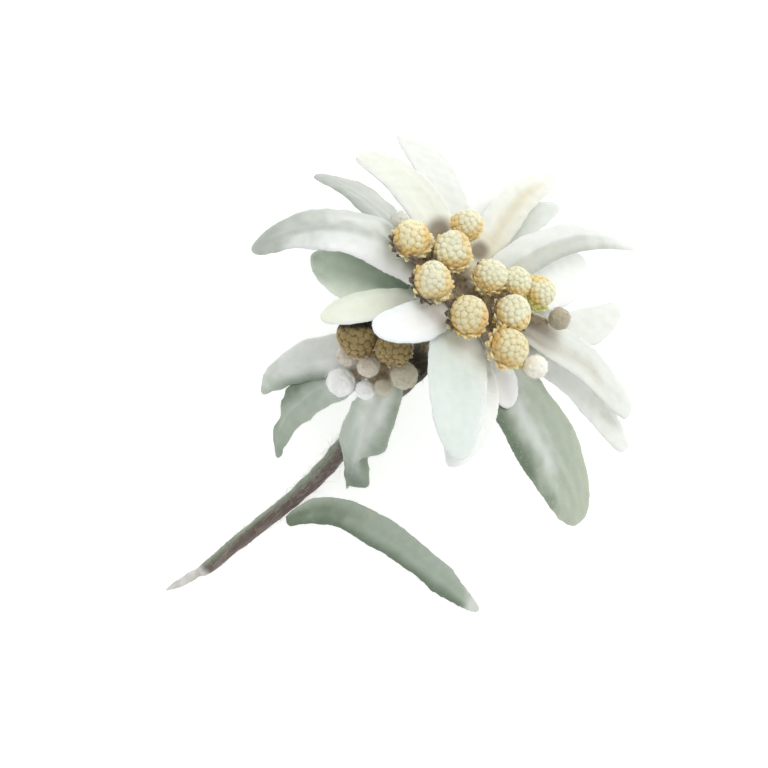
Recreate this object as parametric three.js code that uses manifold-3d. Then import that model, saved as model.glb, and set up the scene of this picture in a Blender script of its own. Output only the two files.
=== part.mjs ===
// An edelweiss, cut and laid down on a flat surface. Millimetres and degrees, +Z up.
//
// The stem lies along X with its cut end at -X. It curves up and carries the bloom, which leans towards +X.
// The bloom is a star of thick, woolly bracts, set in three tiers round the top of the stem, with a bunch of
// small flower heads on its middle. Each head is a cup ringed with pointed scales and full of florets.
// A short branch carries a small side bloom of withered heads, closed buds and three drooping bracts.
// The flower rests on the tips of its lowest bracts, on its stem and on the tip of its one stem leaf.
//
// The origin is the middle of the flower's box in plan, on the surface that it lies on.
import * as THREE from "three";
import { ConvexHull } from "three/addons/math/ConvexHull.js";
import { mergeVertices } from "three/addons/utils/BufferGeometryUtils.js";
import Module from "manifold-3d";

const wasm = await Module();
wasm.setup();

// ---------------------------------------------------------------- driving dimensions
const CLEARANCE = 0.3; // between two pieces that touch

// The star's plane leans from level, and its centre is this high.
const BLOOM = { lean: 42, height: 24 };
const SIDE_BLOOM = { x: -15.6, y: 2.6, height: 19.5, lean: -22, roll: -10 };

const RECEPTACLE = { radius: 3.6, neck: 1.5, top: 1.6, bottom: -8 };
const SIDE_RECEPTACLE = { radius: 2.4, neck: 1.5, top: 1, bottom: -4.5 };

// Bracts leave the top of the stem in tiers, each at its own height over the star's plane.
const TIERS = { upper: -1.2, middle: -3, lower: -4.8 };

// Azimuth is round the bloom's axis, from the side that it leans to. Reach is from that axis to the tip,
// and rise is the tip's height over the star's plane. Arch lifts the middle over the line from root to tip,
// sweep pushes the middle sideways, and curl pushes the tip. The width is at its widest, which comes at
// that share of the length. The root's width is its share of it, and a larger taper makes a sharper tip.
// A fold above zero makes a ridge along the middle, and below zero a channel.
const STAR = {
  upper: [
    { azimuth: 60, reach: 30.8, rise: -6, arch: 3, sweep: -1.5, curl: 1.1,
      width: 8.2, rootShare: 0.5, widestAt: 0.61, taper: 0.3, fold: -0.3 },
    { azimuth: 112.5, reach: 33.6, rise: -8, arch: 4.8, sweep: -3.6, curl: 2.8,
      width: 9.4, rootShare: 0.6, widestAt: 0.48, taper: 0.6, fold: 0.9 },
    { azimuth: 160, reach: 21, rise: 3, arch: 1, sweep: 1.4, curl: 0,
      width: 6.9, rootShare: 0.5, widestAt: 0.5, taper: 0.42, fold: -0.5 },
    { azimuth: -148, reach: 29.7, rise: 0, arch: 1.5, sweep: -1.2, curl: 0,
      width: 10.4, rootShare: 0.4, widestAt: 0.41, taper: 0.5, fold: -0.5 },
    { azimuth: -69.5, reach: 33.2, rise: -5, arch: 2, sweep: 1.4, curl: -1.4,
      width: 7.6, rootShare: 0.5, widestAt: 0.5, taper: 0.3, fold: -0.5 },
    { azimuth: -19.5, reach: 39, rise: -1.9, arch: 2.8, sweep: 2.7, curl: -3.1,
      width: 6, rootShare: 0.55, widestAt: 0.33, taper: 0.69, fold: 0.5 },
  ],
  middle: [
    { azimuth: 8, reach: 35.9, rise: -1.9, arch: 1.7, sweep: 1.1, curl: -3.2,
      width: 6.2, rootShare: 0.6, widestAt: 0.4, taper: 0.42, fold: -0.3 },
    { azimuth: 39.5, reach: 35.6, rise: -8.7, arch: 4, sweep: -0.2, curl: 1.6,
      width: 8.3, rootShare: 0.48, widestAt: 0.69, taper: 0.32, fold: -0.3 },
    { azimuth: 72.5, reach: 30.4, rise: -9, arch: 4, sweep: 1.2, curl: 2,
      width: 6, rootShare: 0.55, widestAt: 0.39, taper: 0.32, fold: 0.4 },
    { azimuth: 142.5, reach: 22.8, rise: -5, arch: 1, sweep: -1.3, curl: 0,
      width: 5.4, rootShare: 0.6, widestAt: 0.5, taper: 0.42, fold: -0.3 },
    { azimuth: -144.5, reach: 28, rise: -5, arch: 1, sweep: 2.5, curl: -0.8,
      width: 9.4, rootShare: 0.4, widestAt: 0.47, taper: 0.66, fold: -0.3 },
    { azimuth: -107, reach: 17.4, rise: -5.4, arch: 1.2, sweep: 0, curl: 0,
      width: 7, rootShare: 0.5, widestAt: 0.6, taper: 0.5, fold: -0.2 },
    { azimuth: -26.5, reach: 29, rise: -4, arch: 0.5, sweep: 0.8, curl: 2.8,
      width: 10, rootShare: 0.4, widestAt: 0.65, taper: 0.5, fold: -0.3 },
  ],
  lower: [
    { azimuth: 0.5, reach: 31.5, rise: -2.4, arch: -0.2, sweep: 1.2, curl: -1.6,
      width: 5.2, rootShare: 0.6, widestAt: 0.56, taper: 0.42, fold: -0.3 },
    { azimuth: 20, reach: 28.4, rise: -6, arch: 1, sweep: -0.3, curl: -0.4,
      width: 8.3, rootShare: 0.45, widestAt: 0.55, taper: 0.37, fold: -0.2 },
    { azimuth: 103, reach: 22.5, rise: -12, arch: 2.5, sweep: 0.9, curl: -2,
      width: 12.2, rootShare: 0.53, widestAt: 0.63, taper: 0.74, fold: 0.3 },
    { azimuth: -96.8, reach: 36.9, rise: -16, arch: 4, sweep: 0.2, curl: 0.8,
      width: 13.8, rootShare: 0.33, widestAt: 0.6, taper: 0.46, fold: 0.7 },
    { azimuth: -76.5, reach: 35.7, rise: -9, arch: 1, sweep: 3.6, curl: -0.8,
      width: 6.6, rootShare: 0.5, widestAt: 0.53, taper: 0.35, fold: -0.3 },
    { azimuth: -42.5, reach: 33.6, rise: -6, arch: 0.8, sweep: -1.8, curl: 4.2,
      width: 7.1, rootShare: 0.43, widestAt: 0.57, taper: 0.42, fold: -0.3 },
  ],
};
const SIDE_STAR = {
  upper: [
    { azimuth: 146, reach: 23.7, rise: -6, arch: 3, sweep: -3.3, curl: 0,
      width: 6.7, rootShare: 0.75, widestAt: 0.3, taper: 0.72, fold: 0.5 },
    { azimuth: 165, reach: 28.2, rise: -8, arch: 2.5, sweep: -3, curl: 2,
      width: 6.8, rootShare: 0.5, widestAt: 0.29, taper: 0.91, fold: 0.4 },
    { azimuth: -166.5, reach: 25, rise: -11.5, arch: 3.5, sweep: 1.2, curl: 0,
      width: 9, rootShare: 0.8, widestAt: 0.25, taper: 1.2, fold: 0.5 },
  ],
};
const BRACT = { thickness: 1.1, around: 8, along: 11 };
// How every blade is shaped: a rounder tip for a larger tipRound, the share of the thickness that is left at
// the tip, the share of the length over which it thins, and blunter rims and faces for smaller powers.
const BLADE = {
  tipRound: 2.2, tipThickness: 0.55, thinsOver: 0.375,
  hookFrom: 0.5, foldFrom: 0.15, foldRound: 1.5, rim: 0.8, face: 0.6,
};

// Flower heads, at the middle of the cup's rim: x and y across the star and the height over its plane.
// The largest heads have size 1.
const HEADS = [
  { x: -2.6, y: 11.8, height: 4.8, size: 1 },
  { x: 7.3, y: 7, height: 4.8, size: 0.8 },
  { x: -0.1, y: 6, height: 6, size: 1 },
  { x: -6.9, y: 5.1, height: 5.6, size: 1 },
  { x: 1.4, y: -0.8, height: 6, size: 0.85 },
  { x: 4.5, y: -4.3, height: 5.6, size: 0.75 },
  { x: 6.9, y: -7.9, height: 5, size: 0.8 },
  { x: -0.7, y: -7, height: 5.6, size: 0.95 },
  { x: -7, y: -2.3, height: 5.4, size: 1 },
  { x: -5.7, y: -10, height: 4.8, size: 1 },
];
const SIDE_HEADS = [
  { x: 2.8, y: 4.5, height: 4.2, size: 1.05 },
  { x: 5.1, y: -0.9, height: 4.2, size: 0.9 },
];
// Closed buds, at the middle of the ball.
const BUDS = [
  { x: 0.7, y: 15.3, height: 3.2, radius: 1.4 },
  { x: 7.2, y: -13, height: 3.6, radius: 1.8 },
  { x: -3.4, y: -15.1, height: 3.4, radius: 1.9 },
];
const SIDE_BUDS = [
  { x: -1.4, y: 4.4, height: 3, radius: 1.8 },
  { x: -0.2, y: 0.7, height: 3.6, radius: 1.8 },
  { x: 2.2, y: -4.4, height: 2.6, radius: 2.2 },
  { x: -5.9, y: 2.9, height: 2, radius: 2.3 },
  { x: -4.1, y: -0.9, height: 2.2, radius: 1.6 },
  { x: -1.7, y: -2.9, height: 2.4, radius: 1.4 },
];
const CUP = {
  radius: 2.65, belly: 2.33, wall: 0.55, depth: 2.7, foot: 0.9,
  tips: 9, tipRise: 0.5, notch: -0.5, flare: 1.08,
};
// Knobs on a spiral, from the top of a ball down to `lowest`, which is a share of its radius.
const FLORETS = { count: 18, lowest: -0.5, radius: 2.45, relief: 0.5, knob: 0.62, middle: 0.75, bed: 1.78 };
const BUD_SCALES = { count: 10, lowest: -0.75, relief: 0.35, knob: 0.7 };
const OUTWARD_LEAN = 1.7; // degrees for each mm that a head stands out from the bloom's axis
const STALK = { foot: 0.9, end: 0.7, depth: 0.3, spread: 0.75, straight: 2 };

// The stem from its cut end to the bloom, each point with the stem's radius there.
const STEM = [
  { x: -59, y: 1.8, z: 1, radius: 1.05 },
  { x: -48.3, y: 0.2, z: 1.1, radius: 1.25 },
  { x: -42.4, y: -0.9, z: 1.6, radius: 1.3 },
  { x: -34.6, y: -1.7, z: 3.8, radius: 1.45 },
  { x: -22.2, y: -1.3, z: 8.6, radius: 1.65 },
  { x: -9.4, y: -1.7, z: 15.2, radius: 2.2 },
  { x: -5, y: -0.6, z: 18.4, radius: 2.4 },
];
// The branch leaves at that share of the stem's length, and rises square into the side bloom.
const BRANCH = { leaves: 0.64, radius: 0.95, sunk: 1, straight: 3 };
const TORN_END = { x: -65, y: 4.2, z: 0.6, leaves: 0.02 };
const TORN_BLADE = {
  width: 1.7, thickness: 0.8, rootShare: 0.8, widestAt: 0.3, taper: 0.8, fold: 0, along: 7,
};
// The leaf's middle, from beside the stem to its tip on the surface.
const LEAF = [
  { x: -43.4, y: -2.2, z: 1.5 },
  { x: -37.8, y: -7, z: 4.4 },
  { x: -34.8, y: -18, z: 6 },
  { x: -34.1, y: -35, z: -0.15 },
];
const LEAF_BLADE = {
  width: 5.2, thickness: 1, rootShare: 0.55, widestAt: 0.68, taper: 0.62, fold: -0.5, along: 14,
};
const FLOOR = { size: 400, depth: 40 }; // what the lowest pieces are cut flat by

const FINISH = {
  bract: { color: 0xf1f4ee, roughness: 0.95, metalness: 0 },
  stem: { color: 0x6b665c, roughness: 0.9, metalness: 0 },
  leaf: { color: 0x8c9a8a, roughness: 0.92, metalness: 0 },
  cup: { color: 0x9a9078, roughness: 0.95, metalness: 0 },
  florets: { color: 0xe2d596, roughness: 0.85, metalness: 0 },
  bud: { color: 0xb0a896, roughness: 0.97, metalness: 0 },
  withered: { color: 0x8a7750, roughness: 0.95, metalness: 0 },
  sideBract: { color: 0xa3b0a2, roughness: 0.95, metalness: 0 },
};

// ---------------------------------------------------------------- joining and cutting
const radians = THREE.MathUtils.degToRad;
const UP = new THREE.Vector3(0, 0, 1);

function solid(geometry) {
  geometry.deleteAttribute("normal");
  geometry.deleteAttribute("uv");
  const merged = mergeVertices(geometry, 1e-4);
  const vertProperties = new Float32Array(merged.attributes.position.array);
  const triVerts = new Uint32Array(merged.index.array);
  return new wasm.Manifold(new wasm.Mesh({ numProp: 3, vertProperties, triVerts }));
}

function largest(body) {
  return body.decompose().sort((a, b) => b.volume() - a.volume())[0];
}

function touches(a, b) {
  const p = a.boundingBox();
  const q = b.boundingBox();
  return [0, 1, 2].every((i) => p.min[i] < q.max[i] && q.min[i] < p.max[i]);
}

function carve(body, cutters) {
  const near = cutters.filter((cutter) => touches(body, cutter));
  return largest(near.reduce((rest, cutter) => rest.subtract(cutter), body));
}

function moved(body, matrix) {
  return body.transform(matrix.elements);
}

function meshOf(name, body, finish) {
  const { vertProperties, triVerts } = body.getMesh();
  const geometry = new THREE.BufferGeometry();
  geometry.setAttribute("position", new THREE.BufferAttribute(new Float32Array(vertProperties), 3));
  geometry.setIndex(new THREE.BufferAttribute(new Uint32Array(triVerts), 1));
  geometry.computeVertexNormals();
  const mesh = new THREE.Mesh(geometry, new THREE.MeshStandardMaterial(finish));
  mesh.name = name;
  return mesh;
}

// ---------------------------------------------------------------- shapes drawn along a route
// Puts each vertex of a closed unit shape, whose ends are on its Y axis, on a route. `share` turns the
// vertex's Y into its share of the route, and `section` turns that share and the vertex's direction round
// the axis into its place to the side of the route and along the route's normal, which is the part of
// `upwards` that is square to the route.
function drawAlong(geometry, route, upwards, share, section) {
  const position = geometry.attributes.position;
  for (let i = 0; i < position.count; i += 1) {
    const t = THREE.MathUtils.clamp(share(position.getY(i)), 0, 1);
    const radius = Math.hypot(position.getX(i), position.getZ(i));
    const across = radius > 1e-6 ? position.getX(i) / radius : 0;
    const through = radius > 1e-6 ? position.getZ(i) / radius : 0;
    const tangent = route.getTangent(t);
    const normal = upwards.clone().addScaledVector(tangent, -upwards.dot(tangent)).normalize();
    const side = normal.clone().cross(tangent);
    const [sideways, outwards] = section(t, across, through);
    const place = route.getPoint(t).addScaledVector(side, sideways).addScaledVector(normal, outwards);
    position.setXYZ(i, place.x, place.y, place.z);
  }
  return solid(geometry);
}

function power(value, exponent) {
  return Math.sign(value) * Math.abs(value) ** exponent;
}

// A felted blade, thick in the middle and thinner at the rims, narrow at its root and rounded at its tip.
function blade(route, shape, grow = 0) {
  const { width, thickness, rootShare, widestAt, taper, fold, curl = 0, around, along } = shape;
  const { tipRound, tipThickness, thinsOver, hookFrom, rim, face, foldRound, foldFrom } = BLADE;
  const halfWidth = (t) => {
    const toPeak = Math.min(t / widestAt, 1);
    const toTip = Math.max((t - widestAt) / (1 - widestAt), 0);
    const swell = rootShare + (1 - rootShare) * Math.sin((toPeak * Math.PI) / 2);
    return (width / 2) * swell * Math.max(1 - toTip ** tipRound, 0) ** taper + grow;
  };
  const halfThickness = (t) => {
    const left = tipThickness + ((1 - tipThickness) * (1 - t)) / thinsOver;
    return (thickness / 2) * Math.min(left, 1) + grow;
  };
  const hook = (t) => curl * Math.max((t - hookFrom) / (1 - hookFrom), 0) ** 2;
  const section = (t, across, through) => {
    const u = power(across, rim);
    const lift = -fold * Math.abs(u) ** foldRound * Math.sin(Math.PI * Math.min(t + foldFrom, 1));
    return [u * halfWidth(t) + hook(t), power(through, face) * halfThickness(t) + lift];
  };
  return drawAlong(new THREE.SphereGeometry(1, around, along), route, UP, (y) => (1 - y) / 2, section);
}

function tube(route, radiusAt, sides, steps) {
  const shape = new THREE.CylinderGeometry(1, 1, 1, sides, steps);
  const aside = new THREE.Vector3(0, 1, 0.01);
  const section = (t, across, through) => [across * radiusAt(t), through * radiusAt(t)];
  return drawAlong(shape, route, aside, (y) => 0.5 - y, section);
}

function curveThrough(points) {
  const places = points.map(({ x, y, z }) => new THREE.Vector3(x, y, z));
  return new THREE.CatmullRomCurve3(places, false, "centripetal");
}

// A lathed shape about Z. Its profile runs from the axis at the bottom to the axis at the top.
function turned(profile, sides) {
  const points = profile.map(([radius, height]) => new THREE.Vector2(radius, height));
  return new THREE.LatheGeometry(points, sides).rotateX(Math.PI / 2);
}

// ---------------------------------------------------------------- frames
function frameOf({ x = 0, y = 0, height, lean, roll = 0 }) {
  const matrix = new THREE.Matrix4().makeRotationFromEuler(new THREE.Euler(radians(roll), radians(lean), 0));
  return matrix.setPosition(x, y, height);
}
const bloomFrame = frameOf(BLOOM);
const sideFrame = frameOf(SIDE_BLOOM);

// A head's frame in its bloom: the origin is the middle of the cup's rim, and Z leans outwards.
function headFrame({ x, y, height, size = 1 }) {
  const level = new THREE.Vector3(-y, x, 0);
  const angle = radians(OUTWARD_LEAN * level.length());
  const turn = new THREE.Quaternion().setFromAxisAngle(level.normalize(), angle);
  const scale = new THREE.Vector3(size, size, size);
  return new THREE.Matrix4().compose(new THREE.Vector3(x, y, height), turn, scale);
}

// ---------------------------------------------------------------- bracts
function bractRoute({ azimuth, reach, rise, arch, sweep }, rootRadius, rootHeight) {
  const angle = radians(azimuth);
  const outwards = new THREE.Vector3(Math.cos(angle), Math.sin(angle), 0);
  const sideways = new THREE.Vector3(-outwards.y, outwards.x, 0);
  const root = outwards.clone().multiplyScalar(rootRadius).addScaledVector(UP, rootHeight);
  const tip = outwards.clone().multiplyScalar(reach).addScaledVector(UP, rise);
  const middle = root.clone().lerp(tip, 0.5);
  middle.addScaledVector(UP, 2 * arch).addScaledVector(sideways, 2 * sweep);
  return new THREE.QuadraticBezierCurve3(root, middle, tip);
}

// Each bract grows from just inside its receptacle's rim. It is cut clear of all that is in its way, and of
// the bracts that lie over it.
function bractsOf(star, radius, cutters) {
  const taken = [...cutters];
  return Object.entries(star).flatMap(([tier, bracts]) => bracts.map((bract, i) => {
    const shape = { ...BRACT, ...bract };
    const route = bractRoute(bract, radius * 0.6, TIERS[tier]);
    const body = carve(blade(route, shape), taken);
    taken.push(blade(route, shape, CLEARANCE));
    return { name: `${tier}_bract_${i + 1}`, body };
  }));
}

// ---------------------------------------------------------------- flower heads and buds
// A cup whose rim is a ring of pointed scales, each standing out a little from the wall.
function cup(grow = 0) {
  const { radius, belly, wall, depth, foot, tips, tipRise, notch, flare } = CUP;
  const inside = radius - wall - grow;
  const geometry = turned([
    [0, -depth - grow],
    [foot + grow, -depth - grow],
    [belly + grow, -depth / 2],
    [radius + grow, notch],
    [inside, notch],
    [inside, notch - CLEARANCE / 3],
    [0, notch - CLEARANCE],
  ], tips * 2);
  const position = geometry.attributes.position;
  for (let i = 0; i < position.count; i += 1) {
    const place = new THREE.Vector3().fromBufferAttribute(position, i);
    const step = ((Math.atan2(place.y, place.x) + Math.PI / 2) / Math.PI) * tips;
    const isTip = Math.round(step) % 2 !== 0;
    const isRim = Math.abs(place.z - notch) < 1e-4 && Math.hypot(place.x, place.y) > 1;
    if (isRim && isTip) {
      place.z = tipRise + grow;
      place.multiply(new THREE.Vector3(flare, flare, 1));
    }
    position.setXYZ(i, place.x, place.y, place.z);
  }
  return solid(geometry);
}

const GOLDEN_ANGLE = Math.PI * (3 - Math.sqrt(5));

// Directions spread evenly along a spiral from the top of a ball down to `lowest`, and its bottom.
function spiralDown(count, lowest) {
  const directions = Array.from({ length: count }, (_, i) => {
    const height = 1 - ((i + 0.5) / count) * (1 - lowest);
    const out = Math.sqrt(1 - height ** 2);
    return new THREE.Vector3(out * Math.cos(i * GOLDEN_ANGLE), out * Math.sin(i * GOLDEN_ANGLE), height);
  });
  return [...directions, UP.clone().negate()];
}

// A ball packed with blunt knobs on a spiral. Each edge of the net between the knobs' tops gives the knob
// at its tail a slice of the flat top and a slice of the flank, down to the valleys beside the edge.
function knobbedBall({ count, lowest, radius, relief, knob }) {
  const hull = new ConvexHull().setFromPoints(spiralDown(count, lowest));
  const valleyOf = (face) => face.midpoint.clone().setLength(radius - relief);
  const rimOf = (top, valley) => top.clone().lerp(valley, knob).setLength(radius - relief / 4);
  const corners = [];
  for (const face of hull.faces) {
    for (let edge = face.edge, i = 0; i < 3; edge = edge.next, i += 1) {
      const top = edge.tail().point.clone().setLength(radius);
      const left = valleyOf(face);
      const right = valleyOf(edge.twin.face);
      const leftRim = rimOf(top, left);
      const rightRim = rimOf(top, right);
      corners.push(top, rightRim, leftRim, rightRim, right, left, rightRim, left, leftRim);
    }
  }
  return new THREE.BufferGeometry().setFromPoints(corners);
}

// The florets sit in the cup as a ball that is flat below and drawn in where it passes the cup's tips.
function florets() {
  const { middle, bed } = FLORETS;
  const geometry = knobbedBall(FLORETS).translate(0, 0, middle);
  const position = geometry.attributes.position;
  for (let i = 0; i < position.count; i += 1) {
    const place = new THREE.Vector3().fromBufferAttribute(position, i);
    const out = Math.hypot(place.x, place.y);
    const drawnIn = place.z < CUP.tipRise + CLEARANCE ? Math.min(bed / out, 1) : 1;
    position.setXYZ(i, place.x * drawnIn, place.y * drawnIn, Math.max(place.z, CUP.notch + CLEARANCE));
  }
  return solid(geometry);
}

function bud(radius) {
  return solid(knobbedBall({ ...BUD_SCALES, radius }));
}

function ball(radius) {
  return solid(new THREE.SphereGeometry(radius, 8, 6));
}

// A stalk runs out of the receptacle and up to just under a cup's foot or a bud.
function stalk(frame, drop, receptacle, grow = 0) {
  const end = new THREE.Vector3(0, 0, -drop).applyMatrix4(frame);
  const bend = new THREE.Vector3(0, 0, -drop - STALK.straight).applyMatrix4(frame);
  const root = new THREE.Vector3(end.x, end.y, 0).clampLength(0, receptacle.radius * STALK.spread);
  root.z = receptacle.top - STALK.depth;
  bend.z = Math.max(bend.z, root.z);
  const route = new THREE.QuadraticBezierCurve3(root, bend, end);
  const radiusAt = (t) => STALK.foot + (STALK.end - STALK.foot) * t + grow;
  return tube(route, radiusAt, 5, 2);
}

function stalksOf(heads, buds, receptacle, grow = 0) {
  const cups = heads.map((head) => stalk(headFrame(head), CUP.depth + CLEARANCE, receptacle, grow));
  const closed = buds.map((each) => stalk(headFrame(each), each.radius + CLEARANCE, receptacle, grow));
  return [...cups, ...closed];
}

// The swollen end of the stem, widest a quarter of the way down.
function receptacleOf({ radius, neck, top, bottom }, grow = 0) {
  return solid(turned([
    [0, bottom - grow],
    [neck + grow, bottom - grow],
    [radius * 0.8 + grow, bottom * 0.6],
    [radius + grow, bottom * 0.25],
    [radius * 0.75 + grow, top * 0.6],
    [0, top + grow],
  ], 12));
}

// ---------------------------------------------------------------- stem and leaf
const stemRoute = curveThrough(STEM);

function stemRadius(t, grow) {
  const place = t * (STEM.length - 1);
  const i = Math.min(Math.floor(place), STEM.length - 2);
  return THREE.MathUtils.lerp(STEM[i].radius, STEM[i + 1].radius, place - i) + grow;
}

function branch(grow = 0) {
  const top = new THREE.Vector3(0, 0, SIDE_RECEPTACLE.bottom + BRANCH.sunk).applyMatrix4(sideFrame);
  const under = new THREE.Vector3(0, 0, SIDE_RECEPTACLE.bottom - BRANCH.straight).applyMatrix4(sideFrame);
  const route = new THREE.QuadraticBezierCurve3(stemRoute.getPoint(BRANCH.leaves), under, top);
  return tube(route, () => BRANCH.radius + grow, 6, 5);
}

// A sliver of the stem's skin that was torn off with the stem and trails from its cut end.
function tornEnd() {
  const start = stemRoute.getPoint(TORN_END.leaves);
  const tip = new THREE.Vector3(TORN_END.x, TORN_END.y, TORN_END.z);
  return blade(new THREE.LineCurve3(start, tip), { ...BRACT, ...TORN_BLADE });
}

function stemSolid(grow = 0) {
  const pieces = [
    tube(stemRoute, (t) => stemRadius(t, grow), 8, 20),
    branch(grow),
    moved(receptacleOf(RECEPTACLE, grow), bloomFrame),
    moved(receptacleOf(SIDE_RECEPTACLE, grow), sideFrame),
    ...stalksOf(HEADS, BUDS, RECEPTACLE, grow).map((piece) => moved(piece, bloomFrame)),
    ...stalksOf(SIDE_HEADS, SIDE_BUDS, SIDE_RECEPTACLE, grow).map((piece) => moved(piece, sideFrame)),
  ];
  if (grow === 0) pieces.push(tornEnd());
  return pieces.reduce((all, piece) => all.add(piece));
}

const { size: floorSize, depth: floorDepth } = FLOOR;
const floor = solid(new THREE.BoxGeometry(floorSize, floorSize, floorDepth).translate(0, 0, -floorDepth / 2));
const stem = largest(stemSolid().subtract(floor));
const aroundStem = stemSolid(CLEARANCE);
const leaf = carve(blade(curveThrough(LEAF), { ...BRACT, ...LEAF_BLADE }), [aroundStem, floor]);

// ---------------------------------------------------------------- the flower
function bloomGroup(prefix, frame, star, heads, buds, receptacle, finishes) {
  const group = new THREE.Group();
  group.applyMatrix4(frame);
  const inverse = frame.clone().invert();
  const cutters = [moved(aroundStem, inverse)];
  const taken = [...cutters];
  const place = (name, body, outline, finish) => {
    group.add(meshOf(`${prefix}${name}`, carve(body, taken), finish));
    taken.push(outline);
  };
  heads.forEach((head, i) => {
    const at = headFrame(head);
    place(`head_${i + 1}_cup`, moved(cup(), at), moved(cup(CLEARANCE), at), finishes.cup);
    group.add(meshOf(`${prefix}head_${i + 1}_florets`, moved(florets(), at), finishes.florets));
  });
  buds.forEach((closed, i) => {
    const at = headFrame(closed);
    const outline = moved(ball(closed.radius + CLEARANCE), at);
    place(`bud_${i + 1}`, moved(bud(closed.radius), at), outline, finishes.bud);
  });
  const bracts = bractsOf(star, receptacle.radius, [...taken, moved(floor, inverse)]);
  bracts.forEach(({ name, body }) => group.add(meshOf(`${prefix}${name}`, body, finishes.bract)));
  return group;
}

const { cup: cupFinish, florets: floretFinish, bud: budFinish, bract, sideBract, withered } = FINISH;
const flower = new THREE.Group();
flower.add(meshOf("stem", stem, FINISH.stem));
flower.add(meshOf("stem_leaf", leaf, FINISH.leaf));
flower.add(bloomGroup("", bloomFrame, STAR, HEADS, BUDS, RECEPTACLE,
  { cup: cupFinish, florets: floretFinish, bud: budFinish, bract }));
flower.add(bloomGroup("side_", sideFrame, SIDE_STAR, SIDE_HEADS, SIDE_BUDS, SIDE_RECEPTACLE,
  { cup: cupFinish, florets: withered, bud: budFinish, bract: sideBract }));

const box = new THREE.Box3().setFromObject(flower, true);
flower.position.set(-(box.min.x + box.max.x) / 2, -(box.min.y + box.max.y) / 2, -box.min.z);

export default flower;
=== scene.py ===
# An edelweiss, cut and laid down on a pale surface, dressed over its solids. Metres, +Z up.
# The sections follow the flower as it is put together: stem, stem leaf, bracts, flower heads and closed
# buds, and then the studio.
import math

import bmesh
import bpy
import numpy as np
from mathutils import Matrix, Vector


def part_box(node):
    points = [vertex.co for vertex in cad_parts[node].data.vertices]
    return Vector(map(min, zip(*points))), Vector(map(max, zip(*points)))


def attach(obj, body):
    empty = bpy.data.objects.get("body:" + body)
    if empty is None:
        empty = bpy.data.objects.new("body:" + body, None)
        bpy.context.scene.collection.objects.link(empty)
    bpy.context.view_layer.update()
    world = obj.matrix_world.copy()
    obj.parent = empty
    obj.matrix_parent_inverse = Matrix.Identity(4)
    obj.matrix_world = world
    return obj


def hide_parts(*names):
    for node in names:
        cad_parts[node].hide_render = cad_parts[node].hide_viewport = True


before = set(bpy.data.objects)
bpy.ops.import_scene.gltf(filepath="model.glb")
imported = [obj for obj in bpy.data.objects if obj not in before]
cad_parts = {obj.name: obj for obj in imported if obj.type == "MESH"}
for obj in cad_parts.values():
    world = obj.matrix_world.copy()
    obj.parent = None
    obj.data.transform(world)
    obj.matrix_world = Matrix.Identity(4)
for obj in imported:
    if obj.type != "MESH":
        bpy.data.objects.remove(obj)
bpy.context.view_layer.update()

MM = 0.001

# ------------------------------------------------ the stem
# One living stem: a ribbed purple-brown skin, grey-green with wool on one side, torn to a pale sliver at
# its cut end. It grew in one piece with its short branch, with the cushions that both ends swell into and
# that carry the bracts, and with the stalks of all the heads and buds.
STEM_FACES = 0.27 * MM
STEM_ROUNDS = 12  # of easing
STEM_RIBS = 0.05 * MM
RIB_SPACING = 0.45 * MM
RIB_STRETCH = (0.08, 1, 1)
KNOB_SPACING = 2 * MM
SHADED_NECK = Vector((8.8, 1.8, 14)) * MM  # the hollow where the branch and the stem part, painted with deep shadow
NECK_SHADOW_REACH = 6.5 * MM
BULGE = Vector((10.3, 4.2, 16)) * MM  # where the neck bulges towards the withered heads
BULGE_REACH = 2.2 * MM
BULGE_HEIGHT = 1.0 * MM
CUSHION_START = 16 * MM  # in height
CUSHION_END = 20 * MM
TORN_START = 0.105  # along the stem, as a share of its length
TORN_END = 0.085
STEM_COLOURS = {
    "skin": "6E625B",
    "green side": "8F9D8A",
    "ribs": "9A908A",
    "torn end": "DAD9D3",
    "brown wool": "A3958A",
    "yellow wool": "DCC99C",
    "hair": "EBDFBE",
    # The last two are painted shade: grey-brown in the hollows between the heads, and deep shadow in the
    # neck.
    "hollow": "8A7C6C",
    "neck": "2C2414",
}
STEM_WOOL = {
    "Hairs per square metre": 7e6,
    "Length": 1.9 * MM,
    "Thickness": 0.045 * MM,
    "Lean": 1.2,
    "Crimp": 2 * MM,
    "Seed": 1,
}
# The hollows between heads, painted with grey-brown shade on the wool: how far it reaches, and how dark it
# is.
SHADED_HOLLOWS = {
    ("head_1_florets", "head_2_florets"): (2.0 * MM, 0.9),
    ("head_2_florets", "head_5_florets"): (1.5 * MM, 0.9),
    ("head_3_florets", "head_9_florets"): (2.6 * MM, 0.6),
    ("head_1_florets", "head_4_florets"): (2.4 * MM, 0.6),
    ("head_10_florets", "bud_2"): (3.6 * MM, 0.3),
}


def merged_copy(node):
    """A copy of a solid's mesh, with its loose triangles joined."""
    body = bmesh.new()
    body.from_mesh(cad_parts[node].data)
    bmesh.ops.remove_doubles(body, verts=body.verts, dist=0.001 * MM)
    mesh = bpy.data.meshes.new(node)
    body.to_mesh(mesh)
    body.free()
    return mesh


def holder_of(data, name):
    """An object in the scene with that mesh, lamp or camera as its data."""
    holder = bpy.data.objects.new(name, data)
    bpy.context.scene.collection.objects.link(holder)
    return holder


def plain_mesh(holder):
    """What an object's modifiers make of it, as a plain mesh. The object goes."""
    bpy.context.view_layer.update()
    ready = holder.evaluated_get(bpy.context.evaluated_depsgraph_get())
    mesh = bpy.data.meshes.new_from_object(ready)
    bpy.data.objects.remove(holder)
    return mesh


def evenly_faced(mesh, face_size):
    """The same shape in small square faces of one size."""
    holder = holder_of(mesh, "evenly_faced")
    remesh = holder.modifiers.new("even faces", "REMESH")
    remesh.mode = "VOXEL"
    remesh.voxel_size = face_size
    return plain_mesh(holder)


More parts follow.
